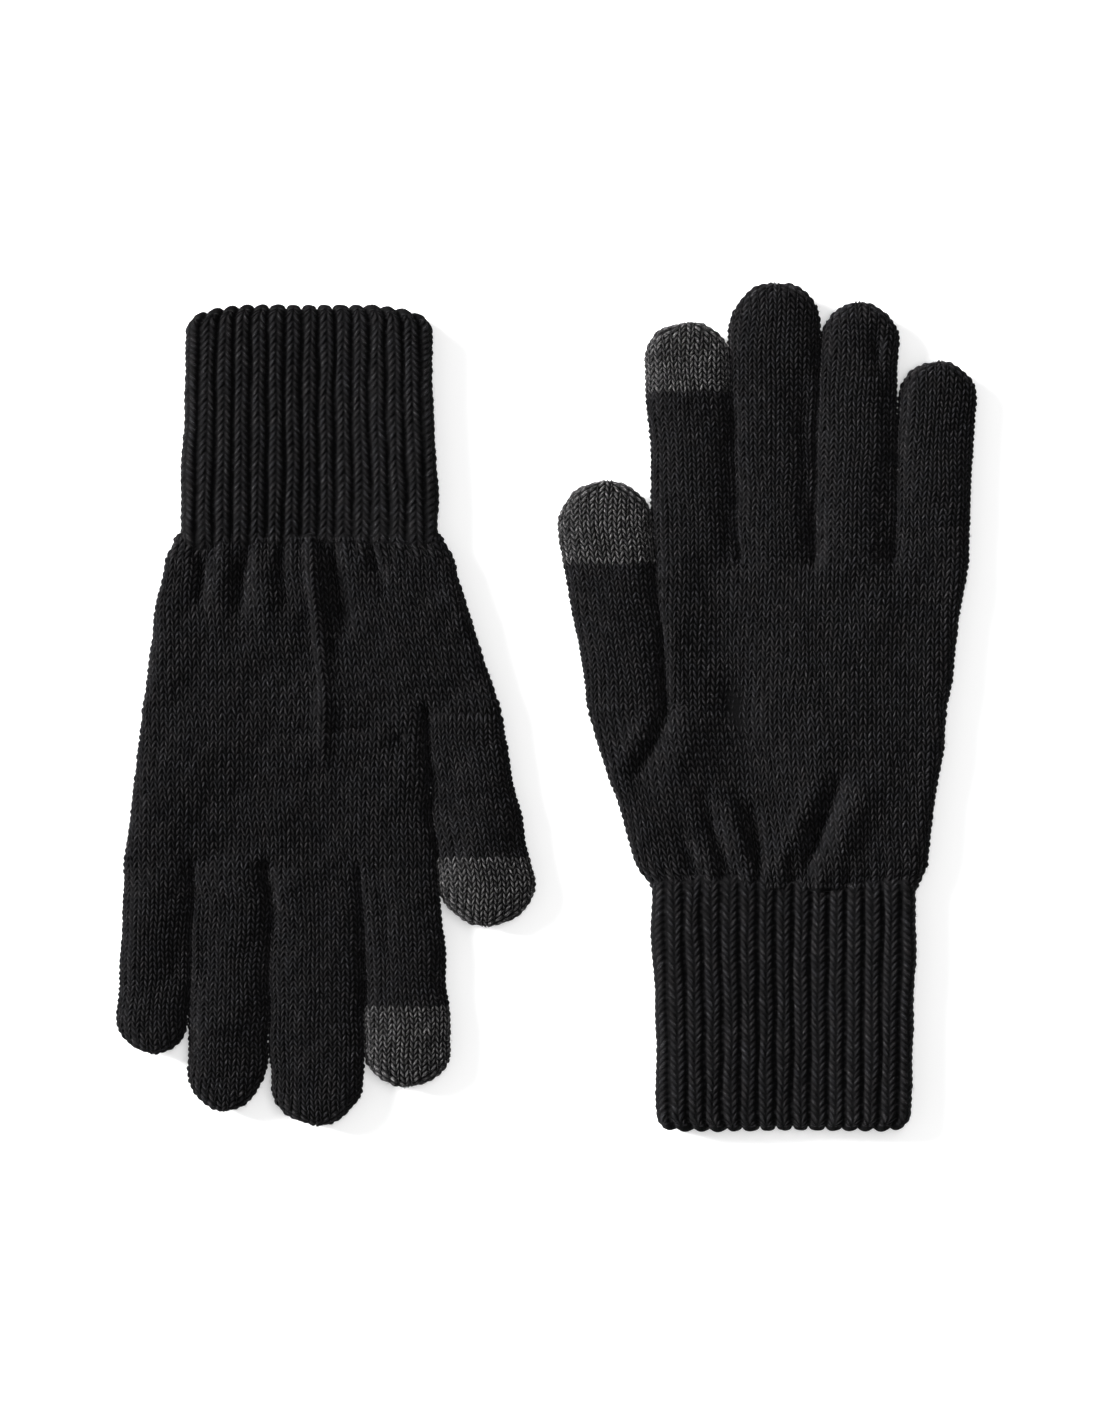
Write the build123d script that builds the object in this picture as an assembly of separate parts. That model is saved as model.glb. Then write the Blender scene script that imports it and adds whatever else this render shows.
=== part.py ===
"""A pair of knitted touchscreen gloves, lying empty and flat beside each other.

Millimetres, +Z up. The gloves rest on Z = 0 and the origin is the middle of the pair's footprint.
The right glove has its back up and its fingers towards +Y. The left glove has its palm up and is
turned half round, so its fingers point towards -Y. Every tube of knitting is a separate solid.

Each glove is drawn in a frame of its own: the origin is the middle of the wrist, +Y runs to the
fingertips, and the thumb is on the -X side.
"""
import os
from dataclasses import dataclass

from build123d import *

# The fabric
THICKNESS = 10.0         # both layers of an empty glove, with the air between them
WALL = 1.7               # one layer of plain knitting
CUFF_WALL = 2.0          # one layer of rib knitting
EDGE_RADIUS = 4.2        # outer radius where the two layers turn into each other
BEND_GAP = 0.1           # between two tubes that bend against each other

# The hand
ROW_Y = 97.0             # where the four finger tubes leave the hand
CROTCH_Y = 52.0          # where the thumb tube leaves the hand
THUMB_GAP = 1.0          # beside the thumb's root, so that the thumb can lift past the hand
WRIST_WIDTH = 82.0       # of the hand, laid flat
HAND_SWELL = (-51.2, 30.0)      # a point on the thumb side, between the wrist and the thumb
HAND_HEEL = (47.0, 45.0)        # a point on the little-finger side

# The cuff
HEM_LENGTH = 3.0         # the welt that the rib was started on
ELASTIC_RADIUS = 0.25    # a thread laid into the rib
ELASTIC_CLEARANCE = 0.1  # between a thread and the layer that holds it
ELASTIC_COUNT = 8


@dataclass(frozen=True)
class Digit:
    """One finger or thumb: a tube that is open at its base and rounded shut at its tip."""
    name: str
    base_y: float
    base_x: tuple        # its two edges at the base
    tip_x: tuple         # its two edges where the rounding starts
    reach: float         # y of its tip
    rounding: float      # the length that the rounded end takes
    touch: float = 0.0   # the length that is knitted in conductive yarn


@dataclass(frozen=True)
class Glove:
    """One glove, and where the middle of its wrist lies in the pair."""
    side: str
    wrist: tuple
    turn: float
    cuff_length: float
    cuff_widths: tuple   # at the hem and at the wrist
    digits: tuple


RIGHT_DIGITS = (
    Digit("thumb", CROTCH_Y, (-58.0, -35.6), (-67.3, -39.3), 118.8, 12.4, touch=23.7),
    Digit("index_finger", ROW_Y, (-38.1, -13.8), (-41.4, -15.9), 166.0, 11.5, touch=20.4),
    Digit("middle_finger", ROW_Y, (-13.4, 8.1), (-15.2, 10.3), 177.6, 12.1),
    Digit("ring_finger", ROW_Y, (8.5, 32.3), (10.9, 33.3), 171.7, 11.5),
    Digit("little_finger", ROW_Y, (32.7, 54.0), (33.9, 56.7), 154.3, 11.0),
)
LEFT_DIGITS = (
    Digit("thumb", CROTCH_Y, (-58.0, -35.6), (-67.3, -39.3), 113.5, 12.4, touch=19.8),
    Digit("index_finger", ROW_Y, (-38.1, -15.3), (-41.6, -16.6), 160.8, 10.0, touch=23.3),
    Digit("middle_finger", ROW_Y, (-14.9, 12.2), (-15.1, 10.9), 172.6, 12.4),
    Digit("ring_finger", ROW_Y, (12.6, 33.7), (14.0, 35.7), 168.1, 11.5),
    Digit("little_finger", ROW_Y, (34.1, 54.0), (36.2, 56.7), 151.3, 10.0),
)

WRIST_X = 70.3           # of each wrist, from the middle of the pair
RIGHT = Glove("right", (WRIST_X, -52.6), 0.0, 72.4, (76.0, 79.0), RIGHT_DIGITS)
LEFT = Glove("left", (-WRIST_X, 49.3), 180.0, 69.4, (73.0, 77.0), LEFT_DIGITS)


def runs_across(edge):
    """Whether an edge is a straight line along X, as every open end of a tube is."""
    return edge.geom_type == GeomType.LINE and abs(edge.tangent_at(0.5).X) > 0.999


def pillow(outline, inset):
    """A plan outline given its height, with its long edges rounded over; inset is the wall to lose."""
    body = extrude(Plane.XY.offset(inset) * outline, THICKNESS - 2 * inset)
    by_height = body.faces().sort_by(Axis.Z)
    rims = by_height[0].edges() + by_height[-1].edges()
    return fillet([rim for rim in rims if not runs_across(rim)], EDGE_RADIUS - inset)


def digit_outline(digit, inset):
    """A digit's plan, smaller all round by inset, and running that much past its base."""
    round_y = digit.reach - digit.rounding
    base_y = digit.base_y - inset
    base_left, base_right = digit.base_x[0] + inset, digit.base_x[1] - inset
    tip_left, tip_right = digit.tip_x[0] + inset, digit.tip_x[1] - inset
    with BuildSketch() as plan:
        with BuildLine():
            Line((base_left, base_y), (tip_left, round_y))
            EllipticalCenterArc(((tip_left + tip_right) / 2, round_y), (tip_right - tip_left) / 2,
                                digit.rounding - inset, start_angle=0, arc_size=180)
            Line((tip_right, round_y), (base_right, base_y))
            Line((base_right, base_y), (base_left, base_y))
        make_face()
    return plan.sketch


def digit_tube(digit):
    """The whole finger or thumb, hollow and open at its base."""
    return pillow(digit_outline(digit, 0), 0) - pillow(digit_outline(digit, WALL), WALL)


def cut_across(tube, y):
    """The two parts of a tube on either side of a bend at y, nearest the wrist first."""
    near = Plane(origin=(0, y - BEND_GAP / 2, 0), z_dir=(0, 1, 0))
    far = Plane(origin=(0, y + BEND_GAP / 2, 0), z_dir=(0, 1, 0))
    return split(tube, bisect_by=near, keep=Keep.BOTTOM), split(tube, bisect_by=far, keep=Keep.TOP)


def hand_outline(glove, inset):
    """The hand's plan, smaller by inset along its sides and running that much past its open ends."""
    thumb, index, little = glove.digits[0], glove.digits[1], glove.digits[-1]
    half = WRIST_WIDTH / 2 - inset
    thumb_side, little_side = thumb.base_x[0] + inset, little.base_x[1] - inset
    slit_x, index_side = thumb.base_x[1] + THUMB_GAP + inset, index.base_x[0] + inset
    crotch_y = CROTCH_Y - BEND_GAP
    row_y = ROW_Y - BEND_GAP + inset
    with BuildSketch() as plan:
        with BuildLine():
            ThreePointArc((-half, -inset), (HAND_SWELL[0] + inset, HAND_SWELL[1]), (thumb_side, crotch_y))
            Line((thumb_side, crotch_y), (slit_x, crotch_y))
            Line((slit_x, crotch_y), (index_side, row_y))
            Line((index_side, row_y), (little_side, row_y))
            ThreePointArc((little_side, row_y), (HAND_HEEL[0] - inset, HAND_HEEL[1]), (half, -inset))
            Line((half, -inset), (-half, -inset))
        make_face()
    return plan.sketch


def hand(glove):
    """The tube around the palm and the back: open at the wrist, the thumb and the row of fingers."""
    return pillow(hand_outline(glove, 0), 0) - pillow(hand_outline(glove, WALL), WALL)


def cuff_width(glove, y):
    """Outer width of the cuff at y, which is 0 at the wrist and negative towards the hem."""
    hem_width, wrist_width = glove.cuff_widths
    return wrist_width + (wrist_width - hem_width) * y / glove.cuff_length


def cuff_band(glove, low_y, high_y):
    """A length of the cuff, open at both ends."""
    def outline(inset):
        low_half, high_half = cuff_width(glove, low_y) / 2 - inset, cuff_width(glove, high_y) / 2 - inset
        corners = (-low_half, low_y - inset), (low_half, low_y - inset)
        return make_face(Polyline(*corners, (high_half, high_y + inset), (-high_half, high_y + inset),
                                  close=True))
    return pillow(outline(0), 0) - pillow(outline(CUFF_WALL), CUFF_WALL)


def elastic_threads(glove, low_y):
    """The rings of elastic thread inside the rib, evenly spaced from the wrist to low_y."""
    inset = CUFF_WALL + ELASTIC_CLEARANCE + ELASTIC_RADIUS
    pitch = -low_y / ELASTIC_COUNT
    rings = []
    for index in range(ELASTIC_COUNT):
        y = -pitch * (index + 0.5)
        across = Plane(origin=(0, y, THICKNESS / 2), x_dir=(1, 0, 0), z_dir=(0, 1, 0))
        loop = RectangleRounded(cuff_width(glove, y) - 2 * inset, THICKNESS - 2 * inset, EDGE_RADIUS - inset)
        path = (across * loop).wire()
        start = Plane(origin=path @ 0, z_dir=path % 0)
        rings.append(sweep(start * Circle(ELASTIC_RADIUS), path=path))
    return Compound(rings)


def glove_pieces(glove):
    """Every piece of one glove by name, in the glove's own frame."""
    hem_y = HEM_LENGTH - glove.cuff_length
    pieces = {
        "hand": hand(glove),
        "cuff": cuff_band(glove, hem_y, -BEND_GAP),
        "cuff_hem": cuff_band(glove, -glove.cuff_length, hem_y),
        "cuff_elastic": elastic_threads(glove, hem_y),
    }
    for digit in glove.digits:
        pieces[digit.name] = digit_tube(digit)
        if digit.touch:
            near, far = cut_across(pieces[digit.name], digit.reach - digit.touch)
            pieces[digit.name] = near
            pieces[digit.name + "_touch_tip"] = far
    return pieces


def main():
    os.makedirs("parts", exist_ok=True)
    for glove in (RIGHT, LEFT):
        place = Location((*glove.wrist, 0), (0, 0, glove.turn))
        for name, piece in glove_pieces(glove).items():
            export_step(place * piece, f"parts/{glove.side}_{name}.step")


main()
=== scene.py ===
"""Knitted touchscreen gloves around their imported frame, with every stitch a shape of its own.

Lengths are in millimetres in a glove's own frame until a mesh is made: the origin is the middle of the
wrist, +Y runs to the fingertips, +Z is up and the thumb is on the -X side. Meshes are in metres, in the
pair's frame. Every piece is a tube of knitting with an outside and a lining. Its mesh is a grid whose
rows slant up and down with the legs of the Vs, so that each leg of each stitch has its own few faces.
"""
import math
from dataclasses import dataclass

import bpy
import numpy as np
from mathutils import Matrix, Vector


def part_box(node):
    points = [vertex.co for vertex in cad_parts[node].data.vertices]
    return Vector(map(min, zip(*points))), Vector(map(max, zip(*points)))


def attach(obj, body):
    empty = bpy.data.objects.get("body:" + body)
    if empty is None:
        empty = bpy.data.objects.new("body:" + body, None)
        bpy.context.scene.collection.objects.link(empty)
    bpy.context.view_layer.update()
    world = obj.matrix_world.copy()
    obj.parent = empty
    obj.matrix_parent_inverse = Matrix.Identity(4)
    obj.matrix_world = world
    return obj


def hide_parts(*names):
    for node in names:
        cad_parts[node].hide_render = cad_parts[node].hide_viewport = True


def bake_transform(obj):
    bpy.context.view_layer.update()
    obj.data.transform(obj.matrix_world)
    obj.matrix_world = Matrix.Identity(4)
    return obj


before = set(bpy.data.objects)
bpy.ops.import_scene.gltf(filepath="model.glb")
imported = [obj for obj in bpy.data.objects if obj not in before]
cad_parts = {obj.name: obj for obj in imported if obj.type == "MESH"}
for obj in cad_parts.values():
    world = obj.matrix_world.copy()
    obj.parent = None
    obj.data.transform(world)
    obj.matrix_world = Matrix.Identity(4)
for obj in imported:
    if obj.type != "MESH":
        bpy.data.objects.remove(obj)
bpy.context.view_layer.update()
MM = 0.001

DIGITS = ("thumb", "index_finger", "middle_finger", "ring_finger", "little_finger")
TOUCH = ("thumb", "index_finger")

# The yarn
ROWS = 5                 # mesh rows to a course, which is one V high
LEG = 0.8                # how far the legs of a V stand up
LEG_RISE = 1.15          # courses that a leg climbs on its way across half a V
FABRIC = 1.6             # thickness of one layer
LEG_SHARPNESS = 0.8      # of a leg's section: 1 is a sine, less is fuller
LOWEST = 0.04            # the share of a leg's height where it meets the next course
SIZE_SPREAD = 0.15       # how much the legs differ in height
SIZE_TABLE = (257, 263)  # courses and legs after which those differences repeat

# The rib of the cuffs: raised wales with a sunk wale between them
RIB_COLUMNS = 12
RAISED_COLUMNS = 10
RIB_HEIGHT = 0.75
RIB_SHARPNESS = 0.4      # of a raised wale's section: 1 is a sine, less is fuller
RAISED_SHARE = (0.1, 0.64)     # how high the yarn on raised wales stands, and so how little painted shade it takes: its lowest, and how much the legs add
SUNK_SHARE = 0.4         # how high the yarn on sunk wales stands at its highest, and so how much painted shade it takes
CUFF_HALF_HEIGHT = 3.25  # to the bottom of the sunk wales
RIB_FADE = 5.0           # how far from the wrist, either way, the ribs flatten
RIB_SINK = 1.6           # how far the end of the cuff dives into the hand

# The tubes, lying flat
MID_Z = 5.22             # where the top layer turns into the bottom one
HALF_HEIGHT = 4.15
HAND_CROWN = 0.14        # how much thinner a tube is near its sides than along its middle
DIGIT_CROWN = 0.55
SIDE_GAP = 0.2           # by which a tube is slimmer than its outline, before its stitches
CUFF_SIDE_GAP = 1.2
CUFF_DIP = 1.3           # how far the top layer of a cuff sags, at a place off its middle
CUFF_DIP_ASIDE = 5.0
CUFF_DIP_WIDTH = 16.0
TIP_RADIUS = 5.0         # of a fingertip, seen from its side
VALLEY = 6.5             # how far the valley between two digits reaches into the hand
TUCK = 0.5               # how deep the last course of a tube goes under the next tube
HAND_START = -1.0        # where the hand starts inside the cuff's ribs
WAIST = 0.8              # how much thinner the hand is at its start, and twice that slimmer
WAIST_LENGTH = 6.0
THUMB_ASIDE = 0.5        # how far the thumb leans on the hand
ASIDE_LENGTH = 8.0       # over which a tube leans over
# How far a digit bulges towards the one before it
BULGES = {("right", "middle_finger"): 0.9, ("right", "ring_finger"): 0.5, ("right", "little_finger"): 0.5,
          ("left", "middle_finger"): 0.9, ("left", "ring_finger"): 2.0, ("left", "little_finger"): 0.5}
BULGE_LENGTH = 12.0      # over which a bulge begins and ends
BULGE_END = 5.0          # how far from the tip a bulge ends
GATHER = 0.42            # how high the ribs of the cuff still stand where they run out in the hand
GATHER_REACH = 7.0
HEM_CORNER = 2.2         # radius of the hem's corners
HEM_CORNER_DEPTH = 0.6   # how much of that radius a corner really takes off
HEM_BOW = {"right": 0.8, "left": 3.6}      # how far the hem's corners draw back
HEM_BOW_LENGTH = 18.0    # of the cuff that draws back with them
HEM_ROLL = FABRIC / 2    # how far the rounded edge of the hem reaches beyond its last course
SCALLOP = 1.0            # how far a raised wale reaches beyond a sunk one at the hem
BEND_START = 1.2         # how far beyond its base a digit's bend would start; nothing bends the digit
BEND_LENGTH = 9.0        # of the fabric that a digit's bend would take; nothing bends the digit
TIP_BEND = (-1.0, 7.0)   # where a touch tip would bend, from the change of yarn; nothing bends it
WRIST_BEND = (1.0, -12.0)      # where a wrist would bend, from the hand into the cuff; nothing bends it

# Unevenness of the fabric: height and wavelength of its ripples
WAVES = 7                # sine waves that a ripple is made of
ROLLING = (0.9, 36.0)    # of the top layer, up and down
PUCKERING = (0.26, 12.0)
UNDERSIDE = (0.1, 20.0)  # of the bottom layer
TOP_SETTLED = 0.35       # how much lower than the plain tube the top layer lies
BOTTOM_SETTLED = 0.15    # how much higher the bottom layer lies
SWAYING = (0.35, 55.0)   # of the hand and the digits, sideways
JITTER = (0.3, 16.0)
CREEPING = (0.3, 14.0)   # the same, along the glove
RIB_SWAYING = (0.35, 45.0)     # of the cuff's ribs, sideways
RIB_JITTER = (0.22, 24.0)

# Elastic threads in the cuffs
ELASTIC_COUNT = 8
ELASTIC_RADIUS = 0.25
ELASTIC_INSET = 0.85     # of a thread's middle from the bottom of the sunk wales
ELASTIC_POINTS = 96

# Loose fibres
FUZZ = 0.3               # fibres on a square millimetre
FUZZ_LENGTH = 1.1
FUZZ_RADIUS = 0.045

# How far up the unwrapped piece its outside, its edges and its lining reach
OUTSIDE_TOP = 0.9
EDGE_TOP = 0.92
LINING_TOP = 0.99


def smooth(x):
    """0 below 0, 1 above 1, and an S between them."""
    x = np.clip(x, 0, 1)
    return x * x * (3 - 2 * x)


def ripple(x, y, wavelength, seed):
    """Gentle uneven ground between about -1 and 1, whose bumps are about a wavelength apart."""
    rng = np.random.default_rng(seed)
    total = 0
    for _ in range(WAVES):
        angle, phase = rng.uniform(0, 2 * math.pi, 2)
        pitch = wavelength * rng.uniform(0.7, 1.5)
        total = total + np.sin((x * math.cos(angle) + y * math.sin(angle)) * 2 * math.pi / pitch + phase)
    return total / (WAVES / 2)


def rippled(size, x, y, seed):
    """A ripple of a height and a wavelength."""
    height, wavelength = size
    return height * ripple(x, y, wavelength, seed)


# ---------------------------------------------------------------- gloves and their outlines

class Glove:
    """One glove's own frame, and the outlines of its CAD nodes in it."""

    def __init__(self, side):
        self.side = side
        self.turn = 1 if side == "right" else -1
        low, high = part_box(self.node("cuff"))
        self.wrist = np.array([(low.x + high.x) / 2, high.y if self.turn > 0 else low.y]) / MM

    def node(self, piece):
        return f"{self.side}_{piece}"

    def to_frame(self, points):
        """Points of this glove, in metres in the pair's frame."""
        placed = np.array(points, float)
        placed[..., :2] = placed[..., :2] * self.turn + self.wrist
        return placed * MM

    def span(self, piece):
        """The lowest and the highest y of a CAD node."""
        corners = [(corner.y / MM - self.wrist[1]) * self.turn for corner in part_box(self.node(piece))]
        return min(corners), max(corners)

    def outline(self, *pieces):
        """The plan of CAD nodes that follow each other: y, and the left and right edge at each y."""
        edges = []
        for piece in pieces:
            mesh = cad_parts[self.node(piece)].data
            points = np.empty(len(mesh.vertices) * 3)
            mesh.vertices.foreach_get("co", points)
            points = (points.reshape(-1, 3)[:, :2] / MM - self.wrist) * self.turn
            ends = np.empty(len(mesh.edges) * 2, int)
            mesh.edges.foreach_get("vertices", ends)
            edges.append(points[ends.reshape(-1, 2)])
        edges = np.concatenate(edges)
        first, last = edges[..., 1].min(), edges[..., 1].max()
        crowded = np.sin(np.linspace(0, math.pi / 2, 90))
        edges = edges[np.abs(edges[:, 1, 1] - edges[:, 0, 1]) > 1e-6]
        start, along = edges[:, 0], edges[:, 1] - edges[:, 0]
        rows = []
        for y in first + 1e-3 + (last - first - 2e-3) * crowded:
            share = (y - start[:, 1]) / along[:, 1]
            crossing = (share >= 0) & (share <= 1)
            if crossing.any():
                x = (start[:, 0] + share * along[:, 0])[crossing]
                rows.append((y, x.min(), x.max()))
        return np.array(rows).T


# ---------------------------------------------------------------- stitches

@dataclass
class Plain:
    """Plain knitting: columns of Vs whose apexes point to the hem."""
    course: float            # height of a V
    wale: float = 2.5        # width of a V
    columns: int = 8         # mesh columns to a V

    def lean(self, stitch):
        """How many courses a row's points move along the tube, so that the row follows the legs."""
        return LEG_RISE * (np.abs(2 * (stitch % 1) - 1) - 0.5)

    def share(self, stitch, course):
        """How high the yarn stands, from 0 in the gaps to 1 on the legs; the yarn's colour takes painted
        shade where it stands low.
        """
        across = np.sin(math.pi * ((2 * stitch) % 1))
        along = np.sin(math.pi * (course % 1))
        return across ** LEG_SHARPNESS * (LOWEST + (1 - LOWEST) * along)

    def height(self, stitch, course, v, size):
        """How far the yarn stands up where its stitch is of that size."""
        return LEG * size * self.share(stitch, course)


@dataclass
class Rib(Plain):
    """Rib knitting: raised columns of Vs, with a sunk column between each two."""
    wale: float = 5.3
    columns: int = RIB_COLUMNS

    def raised(self, stitch):
        """The place across the raised column, and whether it is one."""
        across = (stitch % 1) * RIB_COLUMNS / RAISED_COLUMNS
        return np.minimum(across, 1), across < 1

    def lean(self, stitch):
        across, _ = self.raised(stitch)
        return LEG_RISE * (np.abs(2 * across - 1) - 0.5)

    def share(self, stitch, course):
        across, is_raised = self.raised(stitch)
        lowest, added = RAISED_SHARE
        raised = lowest + added * super().share(np.minimum(across, 0.9999), course)
        return np.where(is_raised, raised, SUNK_SHARE * np.sin(math.pi * (course % 1)))

    def height(self, stitch, course, v, size):
        across, _ = self.raised(stitch)
        uneven = 1 + 0.3 * ripple(3 * stitch, v, 38, 51) + 0.15 * ripple(5 * stitch, v, 11, 52)
        section = np.abs(np.sin(math.pi * across)) ** RIB_SHARPNESS
        rib = RIB_HEIGHT * np.clip(uneven, 0.45, 1.25) * section
        flat = smooth((v + RIB_FADE) / (2 * RIB_FADE))
        level = rib * (1 - flat) + 0.6 * RIB_HEIGHT * flat - RIB_SINK * smooth(v / RIB_FADE)
        return level + super().height(stitch, course, v, size) * (1 - smooth(v / RIB_FADE))

    def scallop(self, stitch):
        """How far the hem reaches beyond its sunk wales."""
        across, _ = self.raised(stitch)
        return SCALLOP * np.sqrt(np.clip(1 - (2 * across - 1) ** 2, 0, 1))


HAND_KNIT = Plain(1.98)
DIGIT_KNIT = Plain(1.75)
CUFF_KNIT = Rib(2.13)


# ---------------------------------------------------------------- shapes of the tubes

@dataclass
class Tube:
    """A flattened tube along +Y. Distances along it are v, which is y until a rounded tip begins."""
    outline: tuple
    knit: Plain
    half_height: float = HALF_HEIGHT
    side_gap: float = SIDE_GAP
    crown: float = HAND_CROWN
    reach: float = None          # y of a rounded tip, if it has one
    waist: bool = False          # whether it grows from a thinner start
    branches: tuple = ()         # the tubes that it splits into at its end
    hem_at: float = None         # y of an open end with rounded corners
    hem_bow: float = 0.0         # how far the corners of that end draw back
    ribs: tuple = None           # the pitch of the ribs that gather it and the x of one of them
    narrowing: float = 0.0       # how much its wales narrow with it: 0 not at all, 1 as much as it does
    first_wale: float = 0.0      # number of the wale along the middle of its top
    aside: float = 0.0           # how far it leans to the right

    def start(self):
        return float(self.outline[0][0])

    def last(self):
        """v at the very end of a rounded tip."""
        return self.reach - TIP_RADIUS * (1 - math.pi / 2)

    def section(self, v, inset):
        """y, middle x, half width and half height at v, all smaller by inset."""
        over, y = 0 * v, v
        if self.reach is not None:
            over = np.clip((v - self.reach + TIP_RADIUS) / TIP_RADIUS, 0, math.pi / 2)
            y = np.where(over > 0, self.reach - TIP_RADIUS * (1 - np.sin(over)) - inset, v)
        ys, left, right = self.outline
        left, right = np.interp(y, ys, left), np.interp(y, ys, right)
        less = self.side_gap + inset
        if self.hem_at is not None:
            rounded = np.clip(1 - (v - self.hem_at) / HEM_CORNER, 0, 1)
            less = less + HEM_CORNER * HEM_CORNER_DEPTH * (1 - np.sqrt(1 - rounded ** 2))
        thinner = WAIST * (1 - smooth(v / WAIST_LENGTH)) if self.waist else 0
        half_width = np.maximum((right - left) / 2 - less - 2 * thinner, 0.02)
        half_height = np.maximum((self.half_height - thinner) * np.cos(over) - inset, 0.02)
        middle = (left + right) / 2 + self.aside * smooth((v - ys[0]) / ASIDE_LENGTH)
        return y, middle, half_width, half_height

    def widest(self):
        """The y where the tube is widest."""
        ys, left, right = self.outline
        inner = (ys > ys[0] + 1) & (ys < ys[-1] - 1)
        return ys[inner][np.argmax((right - left)[inner])]

    def wales(self):
        """How many wales go round the tube where it is widest."""
        return 2 * round(float(self.round_it(np.array([self.widest()]), 0)[0]) / self.knit.wale / 2)

    def round_it(self, v, inset):
        """The length of the skin once round the tube."""
        _, _, half_width, half_height = self.section(v, inset)
        return 4 * (half_width - half_height) + 2 * math.pi * half_height

    def pitch(self, v, inset):
        """The width of a wale at v."""
        if self.hem_at is not None:
            return self.round_it(v, inset) / self.wales()
        widest = self.round_it(np.array([self.widest()]), inset)
        return self.knit.wale * (self.round_it(v, inset) / widest) ** self.narrowing

    def carry_on(self, before):
        """Makes its wales carry on those of the tube before it."""
        v = np.array([self.start()])
        middle, middle_before = self.section(v, 0)[1], before.section(v, 0)[1]
        wale = before.first_wale + float((middle - middle_before)[0] / before.pitch(v, 0)[0])
        self.first_wale = round(wale * self.knit.columns) / self.knit.columns


def stadium(turn, half_width, half_height):
    """A flattened tube's skin at each share of a turn: x, z, and the distance from the face's middle line.

    A turn starts at the left edge, crosses the top and comes back along the bottom.
    """
    radius = np.minimum(half_height, half_width)
    flat = half_width - radius
    quarter = radius * math.pi / 2
    on_top = turn < 0.5
    along = np.where(on_top, turn, 1 - turn) * 4 * (quarter + flat)
    before, after = along < quarter, along > quarter + 2 * flat
    angle = np.where(before, along, np.where(after, along - 2 * flat, quarter)) / radius
    x = np.where(before, -flat, np.where(after, flat, along - quarter - flat)) - radius * np.cos(angle)
    sign = np.where(on_top, 1, -1)
    return x, sign * radius * np.sin(angle), sign * (along - quarter - flat)


def crowned(tube, from_middle, half_width):
    """A tube's thickness across its width, as a share of that in its middle."""
    return 1 - tube.crown * np.minimum(np.abs(from_middle / half_width), 1) ** 2.2


def starts_of(tubes, x, inset):
    """How high the first sections of these tubes stand at x."""
    height = 0 * x
    for tube in tubes:
        _, middle, half_width, radius = tube.section(np.array([tube.start()]), inset)
        from_edge = np.clip(half_width - np.abs(x - middle), 0, radius)
        section = np.sqrt(radius ** 2 - (radius - from_edge) ** 2) * crowned(tube, x - middle, half_width)
        height = np.maximum(height, section)
    return height


@dataclass
class Fold:
    """A crease or a ridge in the top layer, from one point to another; height is negative for a crease."""
    start: tuple
    end: tuple
    width: float
    height: float

    def lift(self, x, y):
        along = np.subtract(self.end, self.start)
        away = x - self.start[0], y - self.start[1]
        share = (away[0] * along[0] + away[1] * along[1]) / (along @ along)
        nearest = np.clip(share, 0, 1)
        distance = np.hypot(away[0] - nearest * along[0], away[1] - nearest * along[1])
        fading = 0.35 + 0.65 * np.sin(math.pi * np.clip(nearest, 0.05, 0.95))
        return self.height * fading * np.exp(-(distance / self.width) ** 2)


FOLDS = {
    "right": (
        Fold((-34.5, 53.0), (-43.7, 32.8), 2.6, -2.3),
        Fold((-38.5, 52.0), (-49.0, 36.0), 3.0, 1.3),
        Fold((-30.0, 45.0), (-34.0, 30.0), 4.0, 1.5),
        Fold((-20.0, 92.0), (-8.0, 10.0), 9.0, -2.8),
        Fold((25.0, 92.0), (22.0, 22.0), 14.0, 1.6),
        Fold((16.0, 30.0), (3.8, 0.0), 2.4, -2.9),
        Fold((22.5, 28.0), (12.0, 2.0), 4.2, 2.0),
        Fold((10.0, 33.0), (-2.0, 4.0), 3.0, 1.7),
        Fold((-24.5, 26.0), (-16.0, 1.0), 2.5, -2.4),
        Fold((-18.0, 28.0), (-11.3, 3.0), 2.6, 1.6),
        Fold((-30.5, 15.0), (-25.0, 0.0), 2.0, -1.8),
        Fold((-9.5, 22.0), (-7.0, 1.0), 2.0, -2.4),
        Fold((2.0, 12.0), (0.5, 0.0), 1.7, -1.6),
        Fold((5.4, 150.0), (7.6, 98.0), 2.8, -1.5),
        Fold((26.5, 164.0), (27.5, 152.0), 2.4, -1.7),
        Fold((30.5, 148.0), (31.5, 98.0), 2.6, -1.6),
        Fold((-16.0, 140.0), (-15.5, 98.0), 2.8, -1.6),
    ),
    "left": (
        Fold((-0.5, 1.0), (-4.7, 34.0), 2.0, 2.4),
        Fold((-4.7, 30.0), (-5.2, 66.0), 2.2, 1.8),
        Fold((-5.6, -2.0), (-11.5, 26.0), 2.7, -3.1),
        Fold((19.0, 1.0), (19.8, 23.0), 2.3, -2.0),
        Fold((24.5, 2.0), (26.0, 24.0), 3.0, 1.6),
        Fold((31.5, 2.0), (31.0, 18.0), 2.0, -2.0),
        Fold((8.0, 1.0), (6.8, 18.0), 2.2, -1.9),
        Fold((13.0, 2.0), (13.0, 24.0), 3.0, 1.4),
        Fold((-17.5, 1.0), (-23.0, 15.0), 2.0, -1.8),
        Fold((-28.7, 60.3), (-26.0, 57.0), 2.1, -1.6),
        Fold((-33.0, 55.0), (5.0, 57.0), 1.5, -0.8),
        Fold((-20.0, 92.0), (32.0, 90.0), 7.0, -1.9),
        Fold((-22.0, 128.0), (-21.5, 98.0), 2.8, -0.8),
    ),
}


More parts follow.
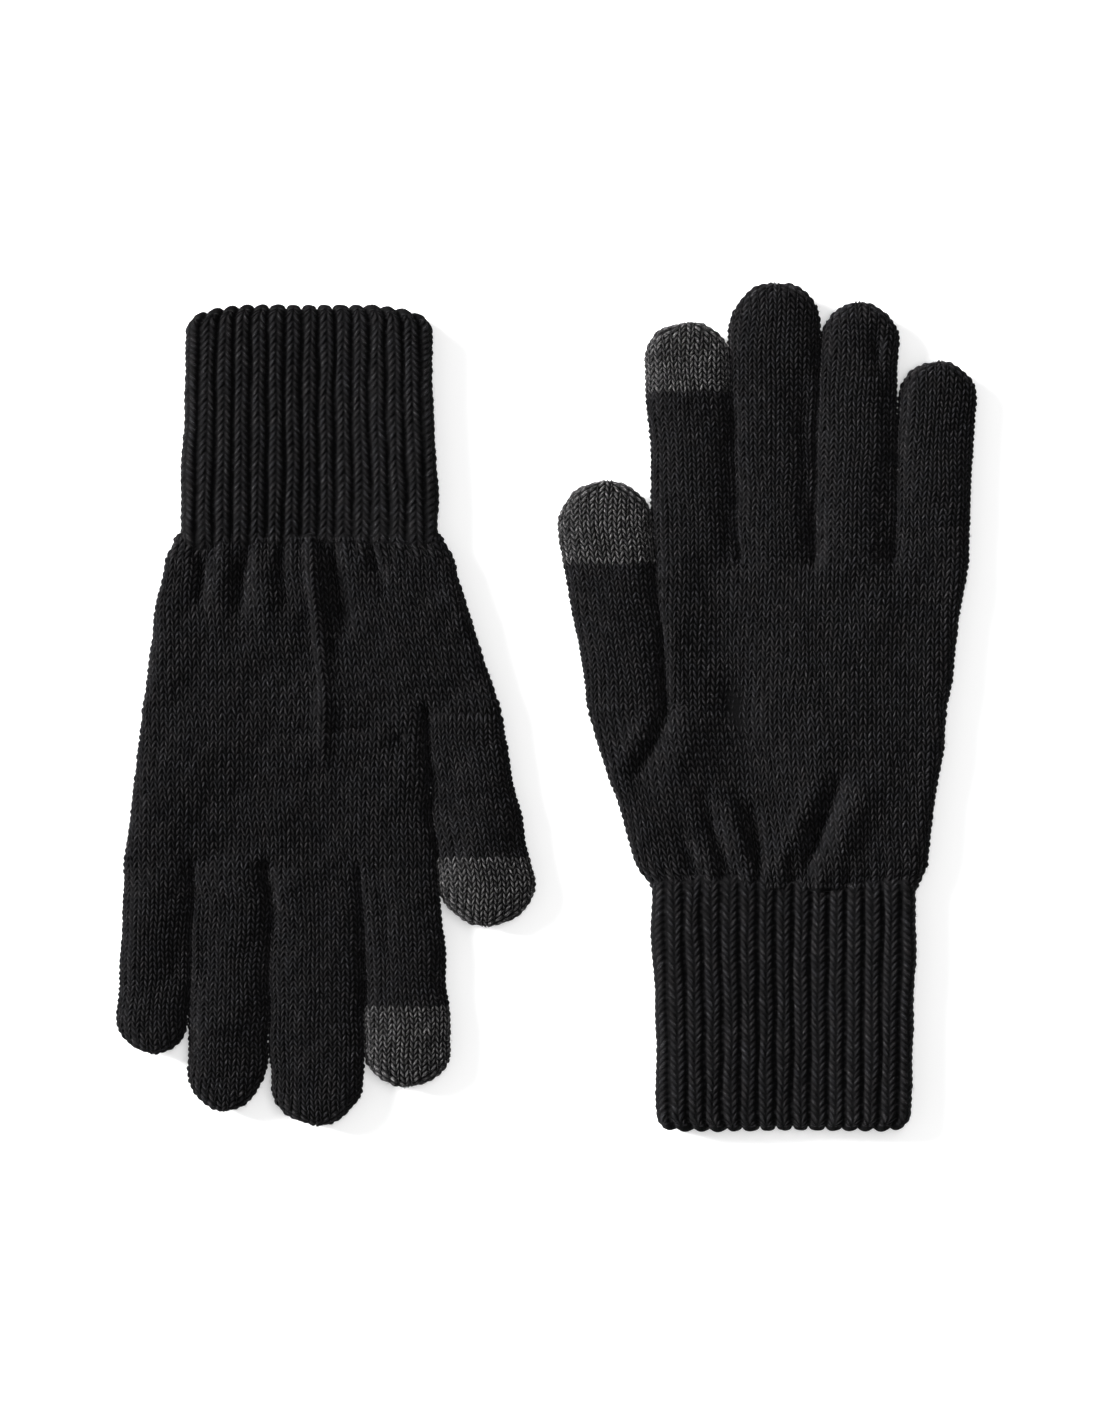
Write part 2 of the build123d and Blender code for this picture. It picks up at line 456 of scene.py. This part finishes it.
def relief(side, x, y, on_top):
    """How far the fabric lies above its tube's plain shape."""
    seed = 3 if side == "right" else 8
    uneven = rippled(ROLLING, x, y, seed) * smooth(y / 18) + rippled(PUCKERING, x, y, seed + 1)
    folds = sum(fold.lift(x, y) for fold in FOLDS[side])
    underside = BOTTOM_SETTLED + rippled(UNDERSIDE, x, y, seed + 2)
    return np.where(on_top, uneven + folds - TOP_SETTLED, underside)


def gathers(ribs, x, y):
    """How the ribs of the cuff run out in the hand."""
    pitch, rib_x = ribs
    return GATHER * np.cos(2 * math.pi * (x - rib_x) / pitch) * np.exp(-(y / GATHER_REACH) ** 2)


def sagged(glove, x, z):
    """z of a cuff whose top layer sags."""
    dip = CUFF_DIP * np.exp(-((x - CUFF_DIP_ASIDE * glove.turn) / CUFF_DIP_WIDTH) ** 2)
    return z - dip * np.maximum(z, 0) / CUFF_HALF_HEIGHT


def warp(side, x, y):
    """How far the fabric of the hand and the digits strays from its plain outline, in x and in y."""
    seed = 31 if side == "right" else 44
    sway = rippled(SWAYING, x, y, seed) + rippled(JITTER, x, y, seed + 1)
    if side == "left":
        sway = sway + 0.9 * smooth(y / 20) * smooth((110 - y) / 40)
    settled = smooth((y + 15) / 30)
    return sway * settled, rippled(CREEPING, x, y, seed + 2) * settled


class Cloth:
    """The skin of a tube as a grid of points, rows along it and columns round it."""

    def __init__(self, glove, tube, v, inset, leaning):
        wales = tube.wales()
        turn = np.arange(wales * tube.knit.columns) / (wales * tube.knit.columns)
        self.turn = np.broadcast_to(turn, (len(v), len(turn)))
        v = np.broadcast_to(v[:, None], self.turn.shape)
        self.stitch = self.wale_position(tube, v, wales, inset)
        v = v + leaning[:, None] * tube.knit.course * tube.knit.lean(self.stitch)
        if tube.hem_at is not None:
            v = v - tube.knit.scallop(self.stitch) * smooth(1 - (v - tube.hem_at) / (2 * SCALLOP + HEM_ROLL))
        if tube.reach is not None:
            v = np.minimum(v, tube.last() - 1e-3)
        self.v = v
        self.points = self.surface(glove, tube, v, inset)

    def wale_position(self, tube, v, wales, inset):
        """Which wale a point is on. Where the tube is slimmer, its outer wales end at the side."""
        _, _, half_width, half_height = tube.section(v, inset)
        _, _, from_middle = stadium(self.turn, half_width, half_height)
        quarter = round(wales / 4) if tube.hem_at is None else wales / 4
        middle = np.where(self.turn < 0.5, quarter + tube.first_wale, 3 * quarter - tube.first_wale)
        return middle + from_middle / tube.pitch(v, inset)

    def surface(self, glove, tube, v, inset):
        y, centre, half_width, half_height = tube.section(v, inset)
        x, z, _ = stadium(self.turn, half_width, half_height)
        if tube.hem_bow:
            y = y + tube.hem_bow * (x / half_width) ** 4 * smooth(1 - (v - tube.hem_at) / HEM_BOW_LENGTH)
        x = x + centre
        if tube.hem_at is not None:
            z = sagged(glove, x, z)
            x = x + rippled(RIB_SWAYING, x, y, 21) + rippled(RIB_JITTER, 3 * x, y, 22)
            return np.stack([x, y, MID_Z + z], -1)
        z = z * crowned(tube, x - centre, half_width)
        if tube.branches:
            deep = smooth((y - tube.branches[0].start() + VALLEY) / VALLEY) ** 1.5
            split = np.minimum(np.abs(z), starts_of(tube.branches, x, inset))
            z = np.sign(z) * (np.abs(z) * (1 - deep) + np.maximum(split, 0.02) * deep)
        near_face = smooth(np.abs(z) / HALF_HEIGHT * 1.6 - 0.5)
        lift = relief(glove.side, x, y, z > 0) * near_face
        if tube.ribs:
            lift = lift + np.sign(z) * near_face * gathers(tube.ribs, x, y)
        sideways, along = warp(glove.side, x, y)
        return np.stack([x + sideways, y + along, MID_Z + z + lift], -1)

    def normals(self):
        """The outward direction at each point."""
        along = np.gradient(self.points, axis=0)
        across = np.roll(self.points, -1, axis=1) - np.roll(self.points, 1, axis=1)
        normal = np.cross(across, along)
        return normal / np.maximum(np.linalg.norm(normal, axis=-1, keepdims=True), 1e-9)


# ---------------------------------------------------------------- meshes

def corners_of(grid, round_step):
    """The values at the four corners of each quad of a grid whose last column joins its first."""
    closed = np.concatenate([grid, grid[:, :1] + round_step], axis=1)
    quads = closed[:-1, :-1], closed[:-1, 1:], closed[1:, 1:], closed[1:, :-1]
    return np.stack(quads, axis=2).reshape(-1, 4, grid.shape[-1])


class Knitting:
    """Collects the points and faces of one piece and makes its mesh.

    A face corner carries its place on the unwrapped piece and its stitch: wale, course, and how high the
    yarn stands there, which also sets how much painted shade the yarn's colour takes.
    """

    def __init__(self, glove, name):
        self.glove, self.name = glove, glove.node(name)
        self.points, self.faces, self.uvs, self.stitches = [], [], [], []
        self.count = 0

    def add_points(self, points):
        """Adds points and gives their numbers in the same layout."""
        self.points.append(points.reshape(-1, 3))
        numbers = self.count + np.arange(len(self.points[-1])).reshape(points.shape[:-1])
        self.count += numbers.size
        return numbers

    def add_sheet(self, numbers, stitches, wales, uv_low, uv_high, flip=False):
        """Faces over a grid of points that closes round on itself."""
        rows, columns = numbers.shape
        faces = corners_of(numbers[..., None], 0)[..., 0]
        stitch = corners_of(stitches, np.array([wales, 0, 0]))
        place = np.meshgrid(np.arange(columns) / columns, np.linspace(uv_low, uv_high, rows))
        uvs = corners_of(np.stack(place, -1), 0)
        uvs[np.arange(columns * (rows - 1)) % columns == columns - 1, 1:3, 0] = 1
        if flip:
            faces, stitch, uvs = faces[:, ::-1], stitch[:, ::-1], uvs[:, ::-1]
        self.faces.append(faces)
        self.stitches.append(stitch)
        self.uvs.append(uvs)

    def add_cap(self, ring, pole, flip=False):
        """Triangles from a closed ring to one point."""
        triangles = np.stack([ring, np.roll(ring, -1), np.full(len(ring), pole)], -1)
        self.faces.append(triangles[:, ::-1] if flip else triangles)
        # Its yarn stands low, so its colour is mostly the painted shade of the gaps.
        self.stitches.append(np.full((len(ring), 3, 3), 0.3))
        self.uvs.append(np.full((len(ring), 3, 2), (LINING_TOP + 1) / 2))

    def make(self, material):
        mesh = bpy.data.meshes.new(self.name)
        points = self.glove.to_frame(np.concatenate(self.points))
        mesh.vertices.add(len(points))
        mesh.vertices.foreach_set("co", points.astype(np.float32).ravel())
        corners = np.concatenate([faces.ravel() for faces in self.faces])
        sizes = np.concatenate([np.full(len(faces), faces.shape[1]) for faces in self.faces])
        mesh.loops.add(len(corners))
        mesh.loops.foreach_set("vertex_index", corners.astype(np.int32))
        mesh.polygons.add(len(sizes))
        mesh.polygons.foreach_set("loop_start", (np.cumsum(sizes) - sizes).astype(np.int32))
        uv_layer = mesh.uv_layers.new(name="OFBake")
        flat = np.concatenate([uvs.reshape(-1, 2) for uvs in self.uvs])
        uv_layer.data.foreach_set("uv", flat.astype(np.float32).ravel())
        stitch = mesh.attributes.new("stitch", "FLOAT_VECTOR", "CORNER")
        flat = np.concatenate([stitches.reshape(-1, 3) for stitches in self.stitches])
        stitch.data.foreach_set("vector", flat.astype(np.float32).ravel())
        mesh.update(calc_edges=True)
        mesh.shade_smooth()
        mesh.materials.append(material)
        piece = bpy.data.objects.new(self.name, mesh)
        bpy.context.scene.collection.objects.link(piece)
        return piece


def uneven_stitches(seed, stitch, course):
    """How much taller or flatter than the rest each leg of each stitch is."""
    size = 1 + SIZE_SPREAD * np.random.default_rng(seed).standard_normal(SIZE_TABLE)
    courses, legs = SIZE_TABLE
    return np.clip(size, 0.7, 1.3)[course.astype(int) % courses, (2 * stitch).astype(int) % legs]


def loose_fibres(knitting, points, normals, stitches, uvs, area, seed):
    """Short curled fibres that stand out of the yarn, each a thin three-sided spike with one bend."""
    rng = np.random.default_rng(seed)
    count = round(area * FUZZ)
    roots = rng.integers(0, len(points), count)
    root, normal = points[roots], normals[roots]
    sideways = np.cross(normal, rng.standard_normal((count, 3)))
    sideways /= np.maximum(np.linalg.norm(sideways, axis=1, keepdims=True), 1e-6)
    across = np.cross(normal, sideways)
    length = FUZZ_LENGTH * rng.uniform(0.4, 1.7, (count, 1))
    curl = rng.uniform(-1.2, 1.2, (count, 1))
    middle = root + length * (0.4 * normal + 0.35 * sideways)
    tip = middle + length * (0.1 * normal + 0.5 * (np.cos(curl) * sideways + np.sin(curl) * across))
    rings = []
    for centre, radius in ((root - 0.1 * normal, FUZZ_RADIUS), (middle, 0.7 * FUZZ_RADIUS)):
        for angle in np.arange(3) * 2 * math.pi / 3:
            rings.append(centre + radius * (math.cos(angle) * across + math.sin(angle) * normal))
    spikes = np.stack([*rings, tip], axis=1)
    spikes[..., 2] = np.maximum(spikes[..., 2], 0.1)
    numbers = knitting.add_points(spikes)
    for corners in (((0, 1, 4, 3), (1, 2, 5, 4), (2, 0, 3, 5)), ((3, 4, 6), (4, 5, 6), (5, 3, 6))):
        for spot in corners:
            knitting.faces.append(numbers[:, spot])
            knitting.stitches.append(np.repeat(stitches[roots, None], len(spot), axis=1))
            knitting.uvs.append(np.repeat(uvs[roots, None], len(spot), axis=1))


@dataclass
class Rows:
    """The mesh rows along a length of a tube."""
    v: np.ndarray
    leaning: np.ndarray      # how far each row follows the legs of the Vs, from 0 to 1
    end_v: float             # where the length ends; a closed tip has no row there
    seen: slice              # those beyond the first course and short of the next tube


def rows_along(tube, first_v, last_v, straight, closed, under):
    """Rows from first_v to last_v, a whole number of courses, and some more courses under the next tube."""
    course = tube.knit.course
    courses = max(2, round((last_v - first_v) / course))
    v = first_v + (last_v - first_v) / courses * np.arange((courses + under) * ROWS + 1) / ROWS
    end_v = v[-1]
    if closed:
        v = v[:-1]
    leaning = np.ones(len(v))
    if straight[0]:
        leaning = leaning * smooth((v - first_v) / course)
    if straight[1] or closed:
        leaning = leaning * smooth((end_v - v) / course)
    return Rows(v, leaning, end_v, slice(ROWS, courses * ROWS))


def raise_stitches(tube, outside, normals, rows, last_v, seed):
    """The outside's points with the yarn standing up, and the stitch at each point."""
    course = np.broadcast_to((np.arange(len(rows.v)) / ROWS)[:, None], outside.stitch.shape)
    size = uneven_stitches(seed, outside.stitch, course)
    height = tube.knit.height(outside.stitch, course, outside.v, size)
    hidden = smooth((rows.v - last_v) / tube.knit.course)[:, None]
    height = height * (1 - hidden) - TUCK * hidden
    share = tube.knit.share(outside.stitch, course)
    return outside.points + normals * height[..., None], np.stack([outside.stitch, course, share], -1)


def line_it(glove, knitting, tube, rows, closed):
    """Adds the lining. Gives its points and their numbers."""
    v = np.linspace(rows.v[0], rows.end_v - 2 * FABRIC * closed, max(3, round((rows.end_v - rows.v[0]) / 3)))
    leaning = np.zeros(len(v))
    leaning[0], leaning[-1] = rows.leaning[0], rows.leaning[-1] * (not closed)
    inside = Cloth(glove, tube, v, FABRIC, leaning)
    # The lining's yarn stands low, so its colour is mostly the painted shade of the gaps.
    stitches = np.stack([inside.stitch, v[:, None] / 2 + 0 * inside.stitch, 0 * inside.stitch + 0.2], -1)
    lining = knitting.add_points(inside.points)
    knitting.add_sheet(lining, stitches, tube.wales(), EDGE_TOP, LINING_TOP, flip=True)
    return inside.points, lining


def close_tip(knitting, points, numbers, flip):
    """Closes a sheet at its last row."""
    pole = points[-1].mean(0) + np.array([0, 0.05, 0])
    knitting.add_cap(numbers[-1], knitting.add_points(pole), flip)


def knit(glove, name, tube, first_v, last_v, material, straight=(True, True), closed=False, under=0):
    """A length of a tube, with an outside, a lining, and rounded or closed ends that join them.

    straight says of each end whether its rows go straight across there. The other ends are seams, whose
    rows follow the legs of the Vs. A tube runs on for some more courses under the next one.
    """
    knitting = Knitting(glove, name)
    seed = sum(name.encode()) + (glove.turn > 0)
    rows = rows_along(tube, first_v, last_v, straight, closed, under)
    outside = Cloth(glove, tube, rows.v, 0, rows.leaning)
    normals = outside.normals()
    points, stitches = raise_stitches(tube, outside, normals, rows, last_v, seed)
    skin = knitting.add_points(points)
    knitting.add_sheet(skin, stitches, tube.wales(), 0, OUTSIDE_TOP)

    place = np.meshgrid(np.arange(skin.shape[1]) / skin.shape[1], np.linspace(0, OUTSIDE_TOP, len(skin)))
    seen = [grid[rows.seen].reshape(-1, grid.shape[-1])
            for grid in (points, normals, stitches, np.stack(place, -1))]
    area = float(tube.round_it(rows.v, 0).mean()) * (last_v - first_v)
    loose_fibres(knitting, *seen, area, seed)

    inside, lining = line_it(glove, knitting, tube, rows, closed)

    def join(end, direction):
        """A rounded edge from the outside to the lining. A seam keeps its edge out of the shading."""
        outer_row = skin[end] if straight[end] else knitting.add_points(points[end])
        middle, half = (points[end] + inside[end]) / 2, (points[end] - inside[end]) / 2
        proud = np.linalg.norm(half, axis=-1, keepdims=True) * np.array([0, direction, 0])
        turns = [middle + half * math.cos(a) + proud * math.sin(a) for a in np.radians((45, 90, 135))]
        rings = np.stack([outer_row, *knitting.add_points(np.stack(turns)), lining[end]])
        edge = np.broadcast_to(stitches[end], (len(rings), *stitches.shape[1:]))
        knitting.add_sheet(rings, edge, tube.wales(), OUTSIDE_TOP, EDGE_TOP, flip=direction < 0)

    join(0, -1)
    if closed:
        close_tip(knitting, points, skin, flip=False)
        close_tip(knitting, inside, lining, flip=True)
    else:
        join(-1, 1)
    return knitting.make(material)


# ---------------------------------------------------------------- materials

def material_nodes(name):
    """A new material, and a function that adds nodes to it: kind, settings, then inputs.

    An input is given by its name, or by its number, such as i0.
    """
    material = bpy.data.materials.new(name)
    material.use_nodes = True
    tree = material.node_tree
    tree.nodes.clear()

    def add(kind, settings=(), **inputs):
        made = tree.nodes.new("ShaderNode" + kind)
        for key, value in dict(settings).items():
            setattr(made, key, value)
        for key, value in inputs.items():
            socket = made.inputs[int(key[1:])] if key[1:].isdigit() else made.inputs[key.replace("_", " ")]
            if isinstance(value, bpy.types.NodeSocket):
                tree.links.new(value, socket)
            else:
                socket.default_value = value
        return made
    return material, add


def yarn(name, painted_gap_shade, body, other_body, fibre, fibre_share):
    """Spun yarn: fibres of a body colour and a lighter one along each leg, and painted shade in the gaps
    between the legs, darker where the yarn stands lower.
    """
    material, add = material_nodes(name)
    stitch = add("Attribute", {"attribute_name": "stitch"}).outputs["Vector"]
    height = add("SeparateXYZ", Vector=stitch).outputs["Z"]

    def stretched(across, along):
        """The stitch's place, with so many units to a wale and to a course."""
        return add("VectorMath", {"operation": "MULTIPLY"}, i0=stitch, i1=(across, along, 0.0)).outputs[0]

    def noise(across, along, **settings):
        return add("TexNoise", Vector=stretched(across, along), Scale=1.0, **settings).outputs["Fac"]

    strands = noise(1.7, 9.0, Detail=3.0, Roughness=0.6)
    fibres = noise(5.0, 13.0, Detail=2.0, Roughness=0.55)
    patches = noise(0.45, 0.4, Detail=2.0)
    leg = add("VectorMath", {"operation": "FLOOR"}, i0=stretched(2.0, 1.0)).outputs[0]
    own = add("TexWhiteNoise", {"noise_dimensions": "3D"}, Vector=leg).outputs["Value"]

    either = add("MapRange", {"clamp": True}, Value=patches, From_Min=0.4, From_Max=0.6).outputs[0]
    dyed = add("Mix", {"data_type": "RGBA"}, i0=either, i6=(*body, 1), i7=(*other_body, 1)).outputs[2]
    light = add("MapRange", {"clamp": True}, Value=fibres, From_Min=0.62 - fibre_share,
                From_Max=0.72 - fibre_share).outputs[0]
    mixed = add("Mix", {"data_type": "RGBA"}, i0=light, i6=dyed, i7=(*fibre, 1)).outputs[2]
    shade_of_leg = add("MapRange", Value=own, To_Min=0.48, To_Max=1.52).outputs[0]
    shade_of_strand = add("MapRange", Value=strands, From_Min=0.3, From_Max=0.7, To_Min=0.5, To_Max=1.5)
    shade = add("Math", {"operation": "MULTIPLY"}, i0=shade_of_leg, i1=shade_of_strand.outputs[0])
    shaded = add("VectorMath", {"operation": "SCALE"}, i0=mixed, Scale=shade.outputs[0]).outputs[0]
    # Painted shade: where the yarn stands low, between the legs, the colour turns to the dark gap colour.
    raised = add("MapRange", {"interpolation_type": "SMOOTHSTEP"}, Value=height, From_Min=0.15, From_Max=0.85)
    colour = add("Mix", {"data_type": "RGBA"}, i0=raised.outputs[0], i6=(*painted_gap_shade, 1), i7=shaded).outputs[2]

    bump = add("Math", {"operation": "ADD"}, i0=strands, i1=fibres).outputs[0]
    rough = add("Bump", Strength=0.8, Distance=0.0002, Height=bump).outputs[0]
    surface = add("BsdfPrincipled", Base_Color=colour, Roughness=0.8, Normal=rough, Sheen_Weight=0.035,
                  Sheen_Roughness=0.5, Sheen_Tint=(0.5, 0.5, 0.52, 1), Specular_IOR_Level=0.06)
    add("OutputMaterial", Surface=surface.outputs[0])
    return material


def rubber():
    """Covered rubber of the elastic threads: nearly black, a little glossy, finely speckled."""
    material, add = material_nodes("elastic_rubber")
    speckle = add("TexNoise", Scale=900.0, Detail=2.0).outputs["Fac"]
    colour = add("Mix", {"data_type": "RGBA"}, i0=speckle,
                 i6=(0.006, 0.006, 0.006, 1), i7=(0.02, 0.02, 0.02, 1))
    surface = add("BsdfPrincipled", Base_Color=colour.outputs[2], Roughness=0.5)
    add("OutputMaterial", Surface=surface.outputs[0])
    return material


# The first colour of each yarn is the painted shade of the gaps between the legs.
BLACK = yarn("black_yarn", (0.0003, 0.0003, 0.0004), (0.0059, 0.0058, 0.0068), (0.0067, 0.006, 0.0063),
             (0.056, 0.0555, 0.0575), 0.05)
GREY = yarn("grey_yarn", (0.0015, 0.0015, 0.0016), (0.0125, 0.0122, 0.0132), (0.0135, 0.0131, 0.0128),
            (0.165, 0.16, 0.161), 0.115)
RUBBER = rubber()


# ---------------------------------------------------------------- the pieces of a glove

def bend(glove, piece, near, far, start_y, end_y):
    start, end = glove.to_frame([[0, start_y, 0], [0, end_y, 0]])
    glove.node(near)
    glove.node(far)
    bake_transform(piece)


def digit_nodes(digit):
    return [digit] + ([digit + "_touch_tip"] if digit in TOUCH else [])


def glove_tubes(glove, ribs):
    """The tubes of the hand below and above the thumb's crotch, and those of the digits."""
    digits = {}
    for digit in DIGITS:
        nodes = digit_nodes(digit)
        ys, left, right = glove.outline(*nodes)
        bulge = smooth((ys - ys[0]) / BULGE_LENGTH) * smooth((ys[-1] - BULGE_END - ys) / BULGE_LENGTH)
        left = left - BULGES.get((glove.side, digit), 0) * bulge
        digits[digit] = Tube((ys, left, right), DIGIT_KNIT, crown=DIGIT_CROWN,
                             reach=glove.span(nodes[-1])[1], aside=THUMB_ASIDE if digit == "thumb" else 0)
    ys, left, right = glove.outline("hand")
    below, above = ys < digits["thumb"].start() - 0.2, ys > digits["thumb"].start() + 0.2
    fingers = tuple(digits[digit] for digit in DIGITS[1:])
    upper = Tube((ys[above], left[above], right[above]), HAND_KNIT, branches=fingers)
    lower = Tube((ys[below], left[below], right[below]), HAND_KNIT, branches=(digits["thumb"], upper),
                 waist=True, ribs=ribs, narrowing=0.4)
    for branch in lower.branches:
        branch.carry_on(lower)
    for finger in fingers:
        finger.carry_on(upper)
    return lower, upper, digits


def knit_digit(glove, digit, tube):
    short = digit.replace("_finger", "")
    base, change = glove.span(digit)
    if digit in TOUCH:
        lower = knit(glove, digit + "_knit", tube, base, change, BLACK, straight=(False, False))
        tip = knit(glove, digit + "_touch_knit", tube, change, tube.last(), GREY,
                   straight=(False, True), closed=True)
        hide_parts(glove.node(digit + "_touch_tip"))
        bend(glove, tip, f"{short}_base", f"{short}_tip", change + TIP_BEND[0], change + TIP_BEND[1])
    else:
        lower = knit(glove, digit + "_knit", tube, base, tube.last(), BLACK,
                     straight=(False, True), closed=True)
    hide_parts(glove.node(digit))
    bend(glove, lower, "palm", f"{short}_base", base + BEND_START, base + BEND_START + BEND_LENGTH)


def knit_hand(glove, lower, upper):
    """The part below the thumb's crotch and the part above it."""
    crotch, row = upper.start(), glove.span("hand")[1]
    for piece in (knit(glove, "hand_lower_knit", lower, HAND_START, crotch, BLACK, under=1),
                  knit(glove, "hand_upper_knit", upper, crotch, row, BLACK, straight=(False, True), under=1)):
        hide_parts(glove.node("hand"))
        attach(piece, glove.node("palm"))


def thread_elastic(glove, tube):
    """The elastic threads that lie inside the fabric of the cuff, each a thin ring round it."""
    knitting = Knitting(glove, "cuff_elastic_threads")
    low, high = glove.span("cuff_elastic")
    turn = np.arange(ELASTIC_POINTS) / ELASTIC_POINTS
    for v in np.linspace(low + ELASTIC_RADIUS, high - ELASTIC_RADIUS, ELASTIC_COUNT):
        rows = []
        for angle in np.arange(6) * math.pi / 3:
            inset = ELASTIC_INSET - ELASTIC_RADIUS * math.cos(angle)
            y, middle, half_width, half_height = tube.section(np.array([v]), inset)
            x, z, _ = stadium(turn, half_width, half_height)
            x = x + middle
            y = y + ELASTIC_RADIUS * math.sin(angle) + 0 * x
            rows.append(np.stack([x, y, MID_Z + sagged(glove, x, z)], -1))
        numbers = knitting.add_points(np.stack(rows))
        numbers = np.concatenate([numbers, numbers[:1]])
        knitting.add_sheet(numbers, np.zeros((*numbers.shape, 3)), 0, 0, 1, flip=True)
    return knitting.make(RUBBER)


def knit_cuff(glove):
    """The ribbed tube and its hem. Gives the pitch of the ribs and the x of one of them."""
    hem_low, hem_high = glove.span("cuff_hem")
    hem_low += HEM_ROLL + SCALLOP
    tube = Tube(glove.outline("cuff_hem", "cuff"), CUFF_KNIT, half_height=CUFF_HALF_HEIGHT,
                side_gap=CUFF_SIDE_GAP, hem_at=hem_low, hem_bow=HEM_BOW[glove.side])
    cuff = knit(glove, "cuff_knit", tube, hem_high, RIB_FADE, BLACK, straight=(False, True))
    hem = knit(glove, "cuff_hem_knit", tube, hem_low, hem_high, BLACK, straight=(True, False))
    threads = thread_elastic(glove, tube)
    for piece, node, slot in ((cuff, "cuff", "rib_knit"), (hem, "cuff_hem", "rib_knit"),
                              (threads, "cuff_elastic", "elastic_thread")):
        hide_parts(glove.node(node))
        bend(glove, piece, "palm", "wristband", *WRIST_BEND)
    wales = tube.wales()
    pitch = float(tube.round_it(np.array([0.0]), 0)[0]) / wales
    middle_of_rib = RAISED_COLUMNS / RIB_COLUMNS / 2
    return pitch, pitch * (middle_of_rib - wales / 4)


# ---------------------------------------------------------------- studio

def make_stage():
    """A pale floor, lit a little from below, and soft studio light, stronger from the left."""
    reach = 3
    corners = [(-reach, -reach, 0), (reach, -reach, 0), (reach, reach, 0), (-reach, reach, 0)]
    floor = bpy.data.meshes.new("floor")
    floor.from_pydata(corners, [], [(0, 1, 2, 3)])
    material, add = material_nodes("floor_paper")
    paper = add("BsdfPrincipled", Base_Color=(0.9, 0.9, 0.9, 1), Roughness=0.9,
                Emission_Color=(1, 1, 1, 1), Emission_Strength=0.35)
    add("OutputMaterial", Surface=paper.outputs[0])
    floor.materials.append(material)
    plane = bpy.data.objects.new("floor", floor)
    bpy.context.scene.collection.objects.link(plane)
    world = bpy.data.worlds.new("studio")
    bpy.context.scene.world = world
    world.use_nodes = True
    world.node_tree.nodes["Background"].inputs["Color"].default_value = (1, 1, 1, 1)
    world.node_tree.nodes["Background"].inputs["Strength"].default_value = 0.45
    for name, place, aim, width, power, spread in (
            ("key", (-2.1, 1.0, 1.3), (0.8, -0.2, 0), 1.2, 22.5, 30),
            ("fill", (0.3, 0.2, 1.8), (0, 0, 0), 1.0, 10, 180)):
        light = bpy.data.lights.new(name, "AREA")
        light.energy, light.size, light.spread = power, width, math.radians(spread)
        lamp = bpy.data.objects.new(name, light)
        lamp.location = place
        lamp.rotation_euler = (Vector(place) - Vector(aim)).to_track_quat("Z", "Y").to_euler()
        bpy.context.scene.collection.objects.link(lamp)
    bpy.context.scene.view_settings.view_transform = "Standard"


def make_camera():
    """Straight above the pair, far enough to see it almost without perspective."""
    view_height, distance, aside = 0.418, 2.0, 0.001
    data = bpy.data.cameras.new("camera")
    data.lens = data.sensor_width * distance / view_height
    camera = bpy.data.objects.new("camera", data)
    camera.location = (aside, 0, distance + MID_Z * MM)
    bpy.context.scene.collection.objects.link(camera)
    bpy.context.scene.camera = camera


make_camera()
make_stage()
for side in ("right", "left"):
    glove = Glove(side)
    lower, upper, digits = glove_tubes(glove, knit_cuff(glove))
    knit_hand(glove, lower, upper)
    for digit, tube in digits.items():
        knit_digit(glove, digit, tube)
